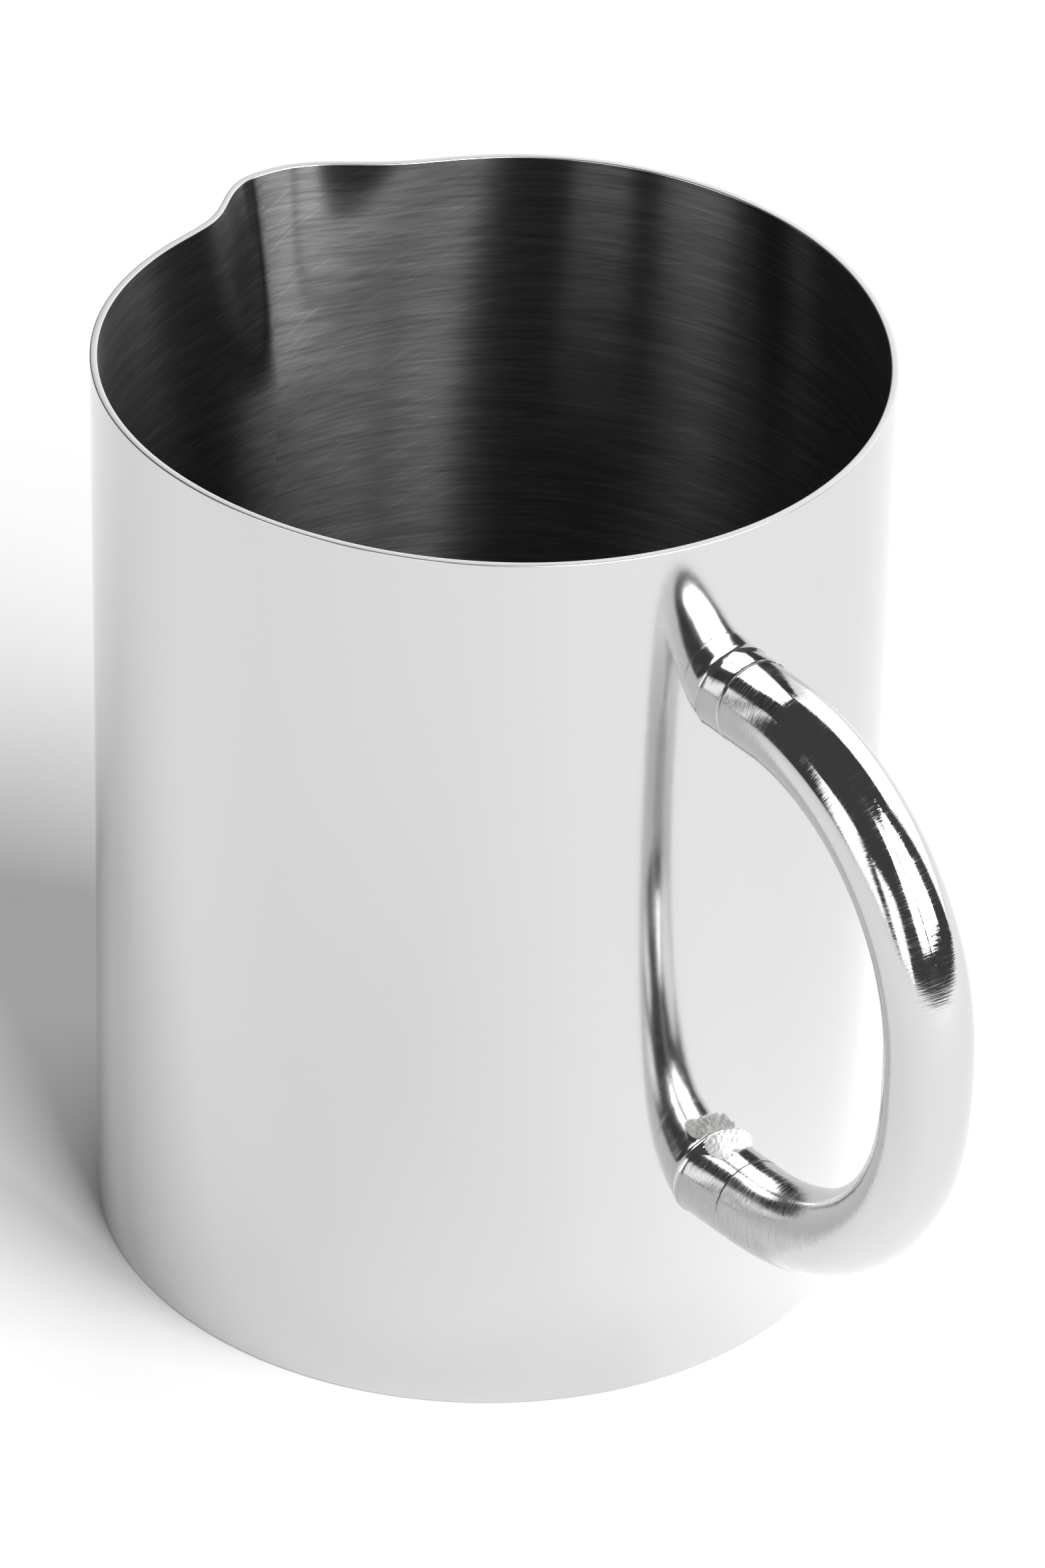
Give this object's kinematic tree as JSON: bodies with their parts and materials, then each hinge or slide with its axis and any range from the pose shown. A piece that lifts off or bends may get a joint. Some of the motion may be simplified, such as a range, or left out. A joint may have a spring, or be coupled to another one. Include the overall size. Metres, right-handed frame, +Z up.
{
  "type": "cream jug",
  "caption": "Small straight-walled metal cream jug with a pinched pouring lip and a loop handle bent from round tube, soldered to the side opposite the lip.",
  "frame": {"origin": "centre of the flat underside of the jug", "axes": "+Z up along the axis of the body, +X from the body's axis through the handle, -X through the pouring lip"},
  "size_m": [0.1083, 0.072, 0.09],
  "materials": {
    "polished_metal": "mirror polish outside, fine brushing inside the cup",
    "solder": "solder bead, filed and polished over"
  },
  "bodies": {
    "root": {"body_wall": "polished_metal", "base_disc": "polished_metal", "base_solder": "solder", "handle_tube": "polished_metal", "upper_stub": "polished_metal", "lower_stub": "polished_metal", "upper_solder": "solder", "lower_solder": "solder"}
  },
  "joints": []
}
